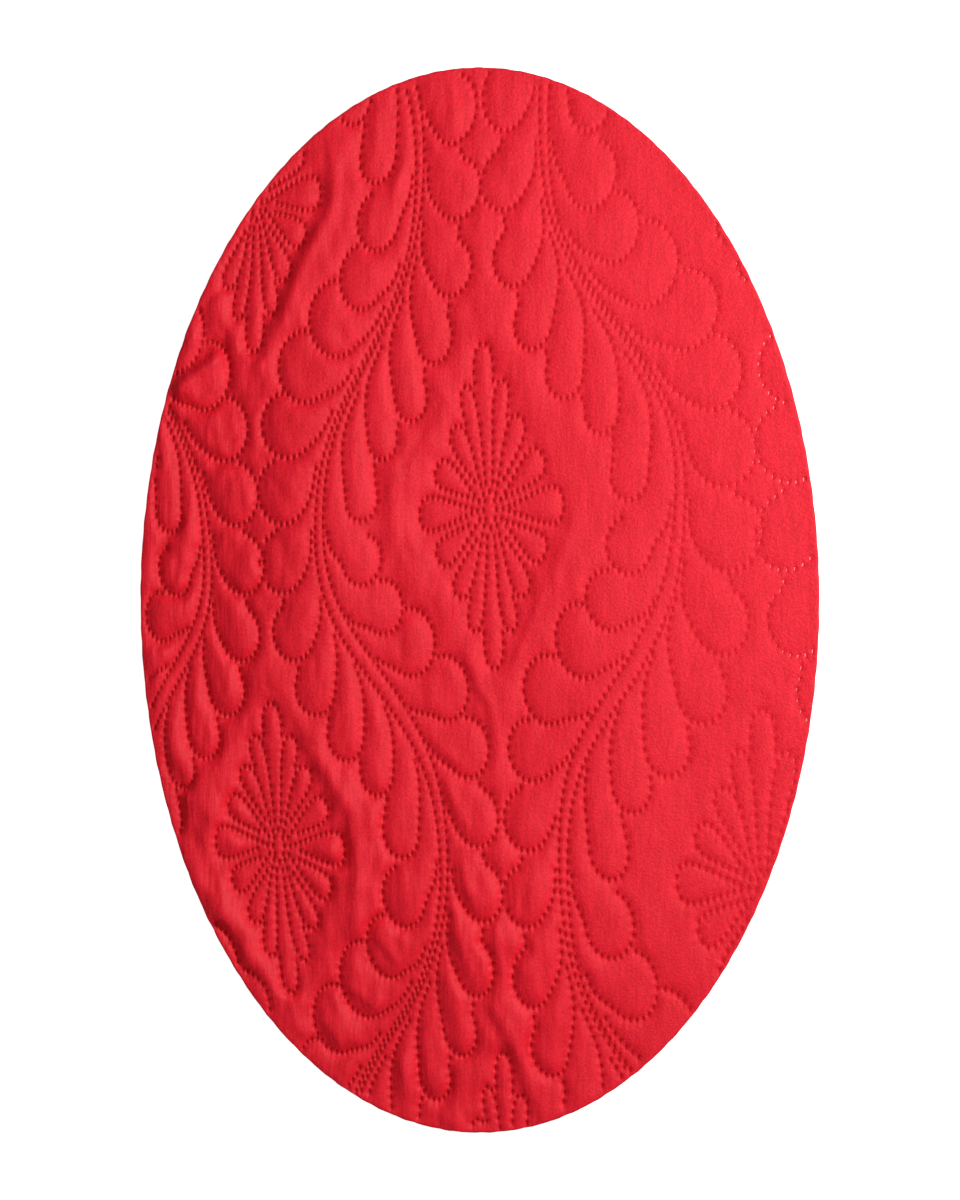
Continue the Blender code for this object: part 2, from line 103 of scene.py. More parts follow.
# How the chart lies on the cloth, which is pulled a little out of shape at the places of the pulls.
laying = {
    "place": (3.4, 49.7),                  # the middle flower
    "square": (0.5617, 0.5776),            # one square's width and height there
    "lean": (-0.0216, 0.0108),
    "spread": (0.000431, 0.000015),        # squares grow towards the right and the top
    "pullReach": 24.0, "pullHold": 0.15,   # with more hold, a pull fades sooner away from its place
}
Pull = namedtuple("Pull", "across along pullAcross pullAlong")
pulls = (
    # left edge
    Pull(-126, 216, 0.5, -2), Pull(-122, 156, -2.5, -1), Pull(-146, 128, -8, -1),
    Pull(-144, 94, -16, -2), Pull(-162, 56, -10, 0), Pull(-128, 100, -13, -2),
    Pull(-134, 60, -11, -4), Pull(-131, 17, -8.5, -5), Pull(-165, -22, -8, 0),
    Pull(-131, -28, -6.5, -5), Pull(-143, -67, -6.5, -3), Pull(-137, -140, -4.5, -2),
    Pull(-109, -140, -0.5, -0.5),
    # left vine
    Pull(-60, 241, 2.5, -4.5), Pull(-70, 168, 3, -5), Pull(-100, 118, 3, -4.5), Pull(-104, 93, 8, -5),
    Pull(-108, 62, 2.5, -8), Pull(-110, 9, 0, -5), Pull(-111, -32, 0, -4), Pull(-86, -64, 1.5, -0.5),
    Pull(-59, -112, 1, 0.5), Pull(-75, -140, 0.5, 1), Pull(-53, -173, 2, 0), Pull(-73, -224, 3, -2),
    Pull(-47, -240, 5.5, -1), Pull(-22, -269, 1.5, 1.5),
    # middle
    Pull(-18, 294, 4, 12), Pull(-40, 272, 5, 0), Pull(-28, 208, 1.5, 3), Pull(-19, 157, 1, 3),
    Pull(12, 263, 5, 4.5), Pull(14, 196, 4.5, 4), Pull(-48, 92, 4, -2), Pull(-59, 56, 3.5, 0),
    Pull(5, 51, 2, 1), Pull(-64, 6, 2, 3), Pull(-39, -39, 2, 3.5), Pull(-17, -95, 2, 3), Pull(-5, -151, 2, 3),
    Pull(-2, -185, 1, 4), Pull(-2, -229, 0.5, 3),
    # right vine
    Pull(38, 252, 6, 1), Pull(62, 263, 4, 3), Pull(50, 202, 2.5, 1.5), Pull(67, 185, 1, 1.5),
    Pull(48, 112, 0, 3), Pull(84, 67, -1, 2), Pull(81, 6, -3.5, 5), Pull(53, -45, 1, 4.5),
    Pull(67, -78, -1.5, 1), Pull(34, -101, 2, 3), Pull(25, -145, 1, 3.5), Pull(25, -190, 0.5, 4),
    Pull(37, -229, -4, 1.5), Pull(42, -269, -5, 0), Pull(67, -240, -5.5, -2), Pull(90, -226, -3.5, -6),
    Pull(79, -190, -1, -2),
    # right edge
    Pull(123, 196, 1, 0), Pull(101, 146, -2, 2), Pull(132, 95, -0.5, 2), Pull(108, 23, -4, 2),
    Pull(177, 56, 4.5, 2), Pull(146, 0, -1, 1), Pull(112, -112, -2, 1), Pull(157, -157, -3, 0),
)


def bezier(start, first, second, end, count):    # a curve's points, with two control points
    t = np.linspace(0, 1, count)[:, None]
    corners = [np.array(p, float) for p in (start, first, second, end)]
    weights = ((1 - t) ** 3, 3 * (1 - t) ** 2 * t, 3 * (1 - t) * t ** 2, t ** 3)
    return sum(w * c for w, c in zip(weights, corners))


def unitOf(vector):    # length one, with squares counted by their true shape
    return vector / math.hypot(vector[0], vector[1] / chart["tall"])


def vineAcross(along):    # where the vine is at that height
    turn = math.pi * along / chart["along"]
    return (-chart["across"] / 2 - chart["vineSwing"] * math.cos(turn)
            + chart["vineSharpen"] * math.cos(3 * turn))


def vineRise(along):    # the way it grows there
    return unitOf(np.array([(vineAcross(along + 1) - vineAcross(along - 1)) / 2, 1.0]))


def asideOf(rise):    # square to it, to the right
    return unitOf(np.array([rise[1] / chart["tall"], -rise[0] * chart["tall"]]))


def headPoints(leaf, slim, turn):
    return np.c_[leaf.headAcross + leaf.radius * slim * np.cos(turn),
                 leaf.headAlong + leaf.radius * slim * chart["tall"] * np.sin(turn)]


def leafLine(leaf, above, slim):    # from the leaf above, round the free end, then down its side to the vine
    turn = np.radians(np.linspace(leaf.first, leaf.last, curves["headPoints"]))
    end = headPoints(leaf, slim, turn)
    if leaf.joins:
        start = headPoints(above, slim, np.radians([leaf.joins]))[0]
        arrive = unitOf(end[1] - end[0]) * math.hypot(*(end[0] - start)) * curves["intoHead"]
        toward = start * (1 - curves["towardHead"]) + end[0] * curves["towardHead"]
        join = bezier(start, toward, end[0] - arrive, end[0], curves["joinPoints"])
        end = np.vstack([join[:-1], end])
    leave = unitOf(np.array([-math.sin(turn[-1]), chart["tall"] * math.cos(turn[-1])]))
    rise = vineRise(leaf.foot)
    foot = np.array([vineAcross(leaf.foot), leaf.foot]) - asideOf(rise) * chart["leafJoinsAt"]
    gap = math.hypot(foot[0] - end[-1][0], (foot[1] - end[-1][1]) / chart["tall"])
    side = bezier(end[-1], end[-1] + leave * gap * curves["outOfHead"],
                  foot - rise * gap * curves["alongVine"], foot, curves["sidePoints"])
    return np.vstack([end, side[1:]])


def petalLine(petal):    # from its root round the tip and back
    length = math.hypot(petal.tipAcross, petal.tipAlong / chart["tall"])
    out = np.array([petal.tipAcross, petal.tipAlong / chart["tall"]]) / length
    aside = np.array([-out[1], out[0]]) * petal.halfWidth
    root, tip = out * chart["petalRoot"], out * length
    belly = root + out * (length - chart["petalRoot"]) * curves["bellyAt"]
    halves = [bezier(root, belly + aside * side * curves["bellyWide"], tip + aside * side * curves["tipWide"],
                     tip, curves["petalPoints"]) for side in (1, -1)]
    line = np.vstack([halves[0], halves[1][::-1][1:]])
    line[:, 1] *= chart["tall"]
    return line


def flowerLines():
    lines = []
    for petal in petals:
        for flipAcross in ((1,) if petal.tipAcross == 0 else (1, -1)):
            for flipAlong in ((1,) if petal.tipAlong == 0 else (1, -1)):
                lines.append(petalLine(petal) * [flipAcross, flipAlong])
    turn = np.linspace(0, 2 * math.pi, curves["knotPoints"])
    lines.append(np.c_[chart["knot"][0] * np.cos(turn), chart["knot"][1] * np.sin(turn)])
    return lines


def vineLines():    # two rows of stem, the leaves on its left, and the same leaves turned to its right
    heights = np.linspace(-chart["along"], chart["along"], curves["stemPoints"])
    lines = []
    for side in (-0.5, 0.5):
        row = [np.array([vineAcross(h), h]) + asideOf(vineRise(h)) * side * chart["stemRowsApart"]
               for h in heights]
        lines.append(np.array(row) + [0, side * chart["weldAlong"]])    # half a weld further up or down
    for above, leaf in zip((None,) + leaves, leaves):
        lines.append(leafLine(leaf, above, 1.0))
        turned = leafLine(leaf, above, chart["slim"])
        lines.append(np.c_[-chart["across"] - turned[:, 0], turned[:, 1] - chart["along"]])
    return lines


def chartLines():
    flowers, vines = [], []
    for column in chart["columns"]:
        for repeat in chart["repeats"]:
            up = 2 * chart["along"] * repeat
            middle = [chart["across"] * column, chart["along"] * (column % 2) + up]
            flowers += [line + middle for line in flowerLines()]
            side = 1 if column % 2 == 0 else -1
            shift = chart["across"] * (column if side == 1 else column - 1)
            vines += [np.c_[side * line[:, 0] + shift, line[:, 1] + up] for line in vineLines()]
    return flowers + vines


def lay(squares):    # chart squares to millimetres on the cloth
    across, along = squares[:, 0], squares[:, 1]
    near = 1 - laying["spread"][0] * across - laying["spread"][1] * along
    even = np.c_[laying["place"][0] + laying["square"][0] * across + laying["lean"][0] * along,
                 laying["place"][1] + laying["lean"][1] * across + laying["square"][1] * along]
    even /= near[:, None]
    rows = np.array(pulls, float)
    away = ((even[:, None, :] - rows[None, :, :2]) ** 2).sum(2)
    weight = np.exp(-away / (2 * laying["pullReach"] ** 2))
    return even + weight @ rows[:, 2:] / (weight.sum(1)[:, None] + laying["pullHold"])


def evenly(line, scale, step):    # a line's points at even steps, measured in the given scale
    far = np.r_[0, np.cumsum(np.hypot(*(np.diff(line, axis=0) / scale).T))]
    at = np.linspace(0, far[-1], max(2, int(round(far[-1] / step)) + 1))
    return np.c_[np.interp(at, far, line[:, 0]), np.interp(at, far, line[:, 1])]


def insideOval(points, margin):
    wide, long = halfWidth - margin, halfLength - margin
    return (points[:, 0] / wide) ** 2 + (points[:, 1] / long) ** 2 < 1


def edgeDistance(points):    # the share counts as a fifth at least, so that the middle is no special case
    share = np.sqrt((points[:, 0] / halfWidth) ** 2 + (points[:, 1] / halfLength) ** 2)
    return (1 - share) * np.hypot(*points.T) / np.maximum(share, 0.2)


weld = {
    "wide": 0.42, "tall": 1.15,            # half sizes of a weld's flat bottom
    "rimWide": 1.15, "rimTall": 2.25,      # and of the rim round its pit
    "depth": 1.4, "slant": 0.14,
    "leastApart": 2.3, "clearOfEdge": 2.2,
    "shallow": (0.55, 20.0, 140.0),        # less deep to the upper right, by this share, from and to; the darker weld colour fades there too, which is painted light
    "shallowWay": (1.0, 0.25),             # the direction in which that counts
}
lines = chartLines()
weldScale = [chart["weldAcross"], chart["weldAlong"]]
candidates = np.vstack([lay(evenly(line, weldScale, 1.0)) for line in lines])    # one at each pitch
candidates = candidates[insideOval(candidates, weld["clearOfEdge"])]
welds = np.zeros((0, 2))
for spot in candidates:    # where lines meet or cross, the first weld stays
    if not len(welds) or np.hypot(*(welds - spot).T).min() > weld["leastApart"]:
        welds = np.vstack([welds, spot])
print("welds", len(welds))


# The lie of the cloth, as the solid has it.
Swell = namedtuple("Swell", "across along reachAcross reachAlong lift")
swells = (
    Swell(-92, 40, 42, 150, 7.5),
    Swell(5, -175, 68, 85, 6.0),
    Swell(20, 190, 90, 60, 3.6),
    Swell(72, -60, 42, 110, 3.8),
)
# Folds move the whole cloth, creases only its upper face. Each is a ridge on the left of its path's
# direction and a hollow on the right of it, so a path that runs down the cloth has its ridge at larger x.
Fold = namedtuple("Fold", "reach rise path")
folds = (
    Fold(3.8, 1.5, ((-88, 268), (-86, 250), (-85, 225), (-92, 208),
                    (-100, 195), (-108, 175), (-115, 155), (-127, 138))),
    Fold(3.5, 1.0, ((-110, -60), (-101, -77), (-92, -92), (-84, -104),
                    (-78, -115), (-74, -128), (-73, -142))),
    Fold(3.5, 0.9, ((-74, -126), (-72, -150), (-71, -175), (-74, -200))),
    Fold(4.5, 0.9, ((-58, 92), (-53, 70), (-52, 50), (-50, 20))),
    Fold(6.0, 1.8, ((-189, -20), (-185, -60), (-181, -84), (-176, -104))),
    Fold(9.0, 2.2, ((-172, -84), (-167, -104), (-162, -122), (-157, -138), (-150, -156))),
    Fold(6.0, 2.4, ((-158, -158), (-149, -177), (-137, -197), (-128, -214), (-121, -236))),
    Fold(5.0, 1.8, ((-160, 165), (-167, 142), (-172, 120), (-176, 98))),
)
creases = (
    # main ones
    Fold(2.6, 0.8, ((-141, 142), (-139, 125), (-137, 110), (-131, 100), (-129, 85), (-128, 70))),
    Fold(4.0, 2.7, ((-135, 151), (-149, 138.5), (-160, 130), (-170, 122), (-182, 113))),
    Fold(2.3, 0.65, ((-16, -20), (-8, -35), (-6, -45), (-2, -52), (4, -58), (6, -75), (5, -100))),
    Fold(3.2, 0.9, ((-3, -220), (12, -240), (18, -255), (25, -275), (27, -290))),
    Fold(2.5, 0.7, ((-43, 290), (-45, 250), (-50, 232), (-52, 218))),
    Fold(2.2, 0.6, ((2, 188), (-10, 170), (-15, 160), (-18, 134))),
    # left
    Fold(1.6, 0.4, ((-116, 142), (-132, 126))), Fold(2.3, 0.6, ((-157, -26), (-155, -50), (-149, -66))),
    Fold(2.5, 0.8, ((-169, -56), (-166, -78), (-156, -92))), Fold(2.3, 0.5, ((-76, 95), (-76, 45))),
    Fold(2.5, 0.7, ((-168, 105), (-157, 88), (-145, 74))), Fold(2.4, 0.5, ((-80, -160), (-81, -220))),
    Fold(1.6, 0.4, ((-149, 162), (-131, 132))), Fold(2.3, 0.4, ((-171, 70), (-169, 36))),
    Fold(1.8, 0.4, ((-122, 122), (-126, 100), (-125, 80))),
    Fold(1.6, 0.4, ((-114, -211), (-104, -236))), Fold(2.3, 0.5, ((-62, -186), (-43, -210))),
    Fold(2.3, 0.5, ((-74, -217), (-58, -234))), Fold(2.3, 0.5, ((-92, -232), (-78, -253))),
    # top
    Fold(2.0, 0.4, ((-60, 288), (-60, 242))), Fold(2.0, 0.4, ((-63, 226), (-65, 196))),
    Fold(2.0, 0.4, ((-27, 288), (-27, 246))), Fold(2.2, 0.3, ((-16, 296), (-18, 256))),
    Fold(2.2, 0.5, ((-50, 154), (-52, 125), (-44, 102))), Fold(2.0, 0.5, ((4, 295), (9, 275))),
    Fold(1.6, 0.5, ((31, 244), (25, 225), (21, 212))), Fold(1.8, 0.4, ((33, 210), (30, 185), (20, 162))),
    Fold(2.0, 0.4, ((10, 219), (10, 186))), Fold(3.0, 0.4, ((46, 266), (46, 238))),
    Fold(2.0, 0.4, ((42, 180), (42, 146))), Fold(1.5, 0.3, ((35, 152), (47, 143))),
    # round the middle flower
    Fold(1.5, 0.3, ((-30, 122), (-18, 110))), Fold(2.0, 0.35, ((-18, 115), (-28, 98), (-35, 85), (-47, 67))),
    Fold(1.5, 0.4, ((5, 132), (22, 120))), Fold(1.8, 0.4, ((28, 88), (42, 66))),
    Fold(3.0, 0.4, ((47, 64), (50, 45), (36, 6))),
    Fold(2.0, 0.5, ((-27, 6), (-21, -15))), Fold(2.0, 0.6, ((38, 14), (28, -8), (22, -25), (12, -44))),
    Fold(3.0, 0.9, ((-34, -76), (-15, -95), (-5, -100))), Fold(3.0, 0.9, ((-24, -100), (-9, -134))),
    # bottom
    Fold(2.3, 0.5, ((-15, -141), (-4, -174))), Fold(2.5, 0.5, ((-19, -176), (-4, -218))),
    Fold(2.5, 0.5, ((-21, -200), (-11, -250))), Fold(2.3, 0.5, ((-36, -241), (-29, -279))),
    Fold(2.3, 0.5, ((-45, -258), (-45, -292))), Fold(2.0, 0.5, ((7, -176), (8, -209))),
    Fold(2.0, 0.6, ((48, -151), (57, -175), (67, -200))),
    Fold(2.0, 0.4, ((78, -161), (90, -190), (96, -209))), Fold(1.5, 0.3, ((56, -202), (63, -218))),
    # right
    Fold(2.0, 0.4, ((82, -110), (84, -128), (83, -153))), Fold(1.8, 0.4, ((93, -26), (91, -60), (93, -98))),
    Fold(1.8, 0.4, ((75, -56), (76, -100), (81, -123))),
    Fold(1.5, 0.3, ((74, 138), (78, 115), (72, 85), (71, 66))),
    Fold(1.5, 0.3, ((133, 165), (131, 142))), Fold(2.0, 0.3, ((145, 150), (147, 112))),
    Fold(2.0, 0.5, ((138, -54), (150, -48), (160, -51), (168, -60))),
    Fold(5.0, 0.7, ((150, -90), (190, -88))),
)
lying = {
    "touch": 1.2,                          # below this the swells leave the cloth on the floor
    "pathStep": 1.5, "pathRounds": 12,     # spacing of a path's points, and how often they are eased
    "pathEnds": 0.25,                      # share of a path over which it fades at each end
    "foldsWithin": 4.0,                    # a fold is felt this many times its reach away
}


def steps(points, rows):    # how high the folds stand, each fading out at both ends of its path
    total = np.zeros(len(points))
    for row in rows:
        path = evenly(np.array(row.path, float), [1, 1], lying["pathStep"])
        for _ in range(lying["pathRounds"]):
            path[1:-1] = (path[:-2] + 2 * path[1:-1] + path[2:]) / 4
        run = np.gradient(path, axis=0)
        around = np.abs(points - (path.min(0) + path.max(0)) / 2)
        near = np.flatnonzero((around < np.ptp(path, axis=0) / 2 + lying["foldsWithin"] * row.reach).all(1))
        gap = points[near, None] - path[None]
        spot = (gap ** 2).sum(2).argmin(1)
        gap, run = gap[np.arange(len(near)), spot], run[spot]
        side = (gap[:, 1] * run[:, 0] - gap[:, 0] * run[:, 1]) / np.hypot(*run.T) / row.reach
        toEnd = np.minimum(spot, len(path) - 1 - spot) / (lying["pathEnds"] * len(path))
        total[near] += row.rise * side * np.exp(0.5 - side ** 2 / 2) * np.clip(toEnd, 0, 1)
    return total


def lift(points):    # of the whole cloth off the floor
    total = np.zeros(len(points))
    for swell in swells:
        across = (points[:, 0] - swell.across) / swell.reachAcross
        along = (points[:, 1] - swell.along) / swell.reachAlong
        total += swell.lift * np.exp(-(across ** 2 + along ** 2))
    return np.maximum(0.0, np.maximum(0.0, total - lying["touch"]) + steps(points, folds))


# The puffs: filled cloth held down at every weld, worked out on a fine net of heights.
puffs = {
    "weldThick": 1.6, "edgeThick": 2.4, "edgeFade": 3.5,
    "shoulder": (3.6, 2.3, 3.8),           # quick rise beside a row of welds, and its reach across and along
    "crown": (2.7, 8.0, 11.0),             # slow rise to the middle of a leaf
    "holdWeld": 4000.0, "holdLine": 6.0, "holdRadius": 0.75,    # hold of the welds, and of the lines between
    "netStep": 1.0, "netMargin": 4.0, "rounds": 160,
    "drawStep": 0.2, "lineStep": 0.6,      # points on the chart's lines, in weld pitches, and on the cloth
    "uneven": 0.16, "unevenAcross": 9.0, "unevenAlong": 16.0, "seed": 5,
    "full": 4.0,                           # the filling's own thickness, where the rise levels off
    "creased": 1.6, "crumpled": 2.0,       # puffs this high take creases and crumples in full
    "slack": 0.28, "slackSlope": 0.0016, "leastSlack": 0.12,    # flatter to the right
    "looseLeft": (0.45, 105.0, 160.0),     # and looser at the left and the bottom, from and to
    "looseLow": (0.45, 20.0, 240.0),
    "firmRight": (0.7, 0.0, 90.0),         # which fades out to the right
}
Crumple = namedtuple("Crumple", "across along height")
crumples = (Crumple(1.5, 4.0, 0.34), Crumple(3.2, 9.0, 0.40), Crumple(6.0, 6.0, 0.35))
pinches = {    # narrow valleys, in patches
    "across": 4.5, "along": 11.0, "narrow": 0.22, "depth": 0.75, "seed": 16,
    "patchAcross": 12.0, "patchAlong": 15.0, "patchMost": 1.5, "patchSeed": 17,
}
netLeft, netLow = -halfWidth - puffs["netMargin"], -halfLength - puffs["netMargin"]


def smoothNoise(shape, across, along, seed):    # soft noise of size about one, stretched as asked
    rng = np.random.default_rng(seed)
    spectrum = np.fft.rfft2(rng.standard_normal(shape))
    up = np.fft.fftfreq(shape[0], puffs["netStep"])[:, None]
    over = np.fft.rfftfreq(shape[1], puffs["netStep"])[None]
    spectrum *= np.exp(-2 * math.pi ** 2 * ((over * across) ** 2 + (up * along) ** 2))
    field = np.fft.irfft2(spectrum, shape)
    return field / field.std()


def stamp(field, points, weight, radius):    # adds a soft spot at each point
    step = puffs["netStep"]
    reach = int(math.ceil(3 * radius / step))
    col = (points[:, 0] - netLeft) / step
    row = (points[:, 1] - netLow) / step
    for dy in range(-reach, reach + 1):
        for dx in range(-reach, reach + 1):
            c, r = np.round(col).astype(int) + dx, np.round(row).astype(int) + dy
            away = ((c - col) ** 2 + (r - row) ** 2) * step ** 2
            ok = (c >= 0) & (r >= 0) & (c < field.shape[1]) & (r < field.shape[0])
            np.maximum.at(field, (r[ok], c[ok]), (weight * np.exp(-away / (2 * radius ** 2)))[ok])


def solvePuff(hold, wanted, reachAcross, reachAlong):    # a taut sheet drawn up, and held at the welds
    stiff = (reachAcross / puffs["netStep"]) ** 2, (reachAlong / puffs["netStep"]) ** 2
    diagonal = 1 + hold + 2 * stiff[0] + 2 * stiff[1]

    def pulled(u):
        out = diagonal * u
        out[:, 1:] -= stiff[0] * u[:, :-1]
        out[:, :-1] -= stiff[0] * u[:, 1:]
        out[1:] -= stiff[1] * u[:-1]
        out[:-1] -= stiff[1] * u[1:]
        return out

    height = wanted * 0.5    # a first guess, bettered by conjugate gradients
    left = wanted - pulled(height)
    eased = left / diagonal
    heading = eased.copy()
    size = (left * eased).sum()
    for _ in range(puffs["rounds"]):
        moved = pulled(heading)
        go = size / (heading * moved).sum()
        height += go * heading
        left -= go * moved
        eased = left / diagonal
        newSize = (left * eased).sum()
        heading = eased + newSize / size * heading
        size = newSize
    return height


def easedIn(far, share):    # a share more, eased in between two distances
    most, start, end = share
    t = np.clip((far - start) / (end - start), 0, 1)
    return most * t * t * (3 - 2 * t)


def looseness(points):    # how far the filling can rise there, as a share
    across = np.maximum(puffs["slack"] - puffs["slackSlope"] * points[:, 0], puffs["leastSlack"])
    low = easedIn(-points[:, 1], puffs["looseLow"]) * (1 - easedIn(points[:, 0], puffs["firmRight"]))
    return across + easedIn(-points[:, 0], puffs["looseLeft"]) + low


def pressed(points):    # how deep a weld there is, as a share; it also sets how much of the darker weld colour shows: melted fibre, with painted light that fades it to the upper right
    return 1 - easedIn(points @ weld["shallowWay"], weld["shallow"])


def puffHeights():    # on the net, above the cloth's thickness at a weld
    step = puffs["netStep"]
    shape = (int(2 * -netLow / step) + 1, int(2 * -netLeft / step) + 1)
    hold = np.zeros(shape)
    rows = np.vstack([evenly(lay(evenly(line, weldScale, puffs["drawStep"])), [1, 1], puffs["lineStep"])
                      for line in lines])
    stamp(hold, rows[insideOval(rows, 0)], puffs["holdLine"], puffs["holdRadius"])
    stamp(hold, welds, puffs["holdWeld"], puffs["holdRadius"])
    x = netLeft + step * np.arange(shape[1])
    y = netLow + step * np.arange(shape[0])
    places = np.stack(np.meshgrid(x, y), -1).reshape(-1, 2)
    fade = (1 - np.exp(-np.maximum(edgeDistance(places), 0) / puffs["edgeFade"])).reshape(shape)
    noise = smoothNoise(shape, puffs["unevenAcross"], puffs["unevenAlong"], puffs["seed"])
    slack = looseness(places).reshape(shape)
    height = np.zeros(shape)
    for rise, reachAcross, reachAlong in (puffs["shoulder"], puffs["crown"]):
        wanted = rise * fade * slack * (1 + puffs["uneven"] * noise)
        height += solvePuff(hold, wanted, reachAcross, reachAlong)
    height = puffs["full"] * np.tanh(height / puffs["full"])
    height += steps(places, creases).reshape(shape) * np.clip(height / puffs["creased"], 0, 1)
    free = np.clip(height / puffs["crumpled"], 0, 1) * np.sqrt(slack)
    for seed, size in enumerate(crumples, puffs["seed"] + 1):
        height += size.height * smoothNoise(shape, size.across, size.along, seed) * free
    waves = smoothNoise(shape, pinches["across"], pinches["along"], pinches["seed"])
    patches = smoothNoise(shape, pinches["patchAcross"], pinches["patchAlong"], pinches["patchSeed"])
    valleys = np.exp(-(waves / pinches["narrow"]) ** 2) * np.clip(patches, 0, pinches["patchMost"])
    height -= pinches["depth"] * valleys * free
    return np.maximum(height, 0)


def readNet(net, points):    # the net's height at each point, between its four neighbours
    col = np.clip((points[:, 0] - netLeft) / puffs["netStep"], 0, net.shape[1] - 1.001)
    row = np.clip((points[:, 1] - netLow) / puffs["netStep"], 0, net.shape[0] - 1.001)
    c, r = col.astype(int), row.astype(int)
    fc, fr = col - c, row - r
    return ((net[r, c] * (1 - fc) + net[r, c + 1] * fc) * (1 - fr)
            + (net[r + 1, c] * (1 - fc) + net[r + 1, c + 1] * fc) * fr)


puffNet = puffHeights()
print("puffs", round(float(puffNet.max()), 2), "mm at most")


# The cloth's mesh: rings of points round each weld and an even net between them.
sheetNet = {
    "rimPoints": 480, "step": 2.15, "underStep": 4.5,
    "innerRing": 5, "innerTurn": 0.25, "outerRing": 8, "outerTurn": 0.5,    # turned by shares of a point
    "ringClear": 0.93, "netClear": 1.75,                    # points keep this far from welds, in pit radii
    "ringInset": 0.8, "netInset": 1.2, "underInset": 4.0,   # and this far from the rim
    "edgeRound": 0.9, "edgeRings": 4,
    "fray": ((0.12, 97, 0), (0.1, 151, 2)),                 # waves of the cut edge: height, number and shift
    "searchCell": 6.0, "farOff": 9.0, "merge": 0.005,
}


def hexPoints(step, margin):    # an even net of points
    row = step * math.sqrt(3) / 2
    rows, cells = int(halfLength / row) + 1, int(halfWidth / step) + 2
    j, i = np.meshgrid(np.arange(-rows, rows + 1), np.arange(-cells, cells + 1), indexing="ij")
    points = np.c_[((i + 0.5 * (j % 2)) * step).ravel(), (j * row).ravel()]
    return points[insideOval(points, margin)]


def ringOffsets(count, wide, tall, turned):    # a slanted ring of points round a weld
    turn = (np.arange(count) + turned) * 2 * math.pi / count
    across, along = wide * np.cos(turn), tall * np.sin(turn)
    return np.c_[across + weld["slant"] * along, along]


def nearestWeld(points):    # each point's distance to its nearest weld, in pit radii
    cell = sheetNet["searchCell"]
    bins = {}
    for number, key in enumerate(map(tuple, np.floor(welds / cell).astype(int))):
        bins.setdefault(key, []).append(number)
    far = np.full(len(points), sheetNet["farOff"])
    keys = np.floor(points / cell).astype(int)
    order = np.lexsort(keys.T)
    starts = np.flatnonzero(np.r_[True, np.any(np.diff(keys[order], axis=0), axis=1)])
    for group in np.split(order, starts[1:]):
        cx, cy = keys[group[0]]
        near = [n for dx in (-1, 0, 1) for dy in (-1, 0, 1) for n in bins.get((cx + dx, cy + dy), ())]
        if near:
            gap = points[group][:, None] - welds[near][None]
            across = (gap[..., 0] - weld["slant"] * gap[..., 1]) / weld["rimWide"]
            far[group] = np.hypot(across, gap[..., 1] / weld["rimTall"]).min(1)
    return far


def topHeight(points):    # of the upper face, and how far down a weld's pit the point is
    far = nearestWeld(points)
    bottom = weld["wide"] / weld["rimWide"]
    share = np.clip((1 - far) / (1 - bottom), 0, 1)
    pit = weld["depth"] * share * share * (3 - 2 * share) * pressed(points)
    inner = 1 - np.exp(-np.maximum(edgeDistance(points), 0) / puffs["edgeFade"])
    base = puffs["weldThick"] + (puffs["edgeThick"] - puffs["weldThick"]) * (1 - inner)
    return lift(points) + base + readNet(puffNet, points) - pit, share * pressed(points)


def triangulate(points, rimCount):    # also gives where the rim's points are in the result
    flat = [Vector((float(x), float(y))) for x, y in points]
    rimEdges = [(i, (i + 1) % rimCount) for i in range(rimCount)]
    found, _, faces, origins, _, _ = delaunay_2d_cdt(flat, rimEdges, [], 1, sheetNet["merge"])
    places = np.array([(p.x, p.y) for p in found])
    nowAt = {old: new for new, group in enumerate(origins) for old in group}
    return places, [tuple(f) for f in faces], [nowAt[i] for i in range(rimCount)]


def upperPoints(rim):    # the rim, each weld's middle and two rings, and the even net between them
    inset = sheetNet["edgeRound"]
    inner = ringOffsets(sheetNet["innerRing"], weld["wide"], weld["tall"], sheetNet["innerTurn"])
    outer = ringOffsets(sheetNet["outerRing"], weld["rimWide"], weld["rimTall"], sheetNet["outerTurn"])
    innerPoints = (welds[:, None] + inner[None]).reshape(-1, 2)
    outerPoints = (welds[:, None] + outer[None]).reshape(-1, 2)
    outerPoints = outerPoints[(nearestWeld(outerPoints) > sheetNet["ringClear"])
                              & insideOval(outerPoints, inset + sheetNet["ringInset"])]
    between = hexPoints(sheetNet["step"], inset + sheetNet["netInset"])
    between = between[nearestWeld(between) > sheetNet["netClear"]]
    return np.vstack([rim, welds, innerPoints, outerPoints, between])


def edgePoints(turn, oval, low, high):    # the rounded cut edge, ring by ring from the upper rim down
    inset = sheetNet["edgeRound"]
    fray = sum(tall * np.sin(turn * waves + shift) for tall, waves, shift in sheetNet["fray"])
    rings = []
    for ring in range(1, sheetNet["edgeRings"] + 1):
        angle = math.pi * ring / (sheetNet["edgeRings"] + 1)
        grown = (inset + fray) * math.sin(angle) - inset
        out = oval * np.c_[halfWidth + grown, halfLength + grown]
        blend = (1 + math.cos(angle)) / 2
        rings.append(np.c_[out, low + (high - low) * blend])
    return rings


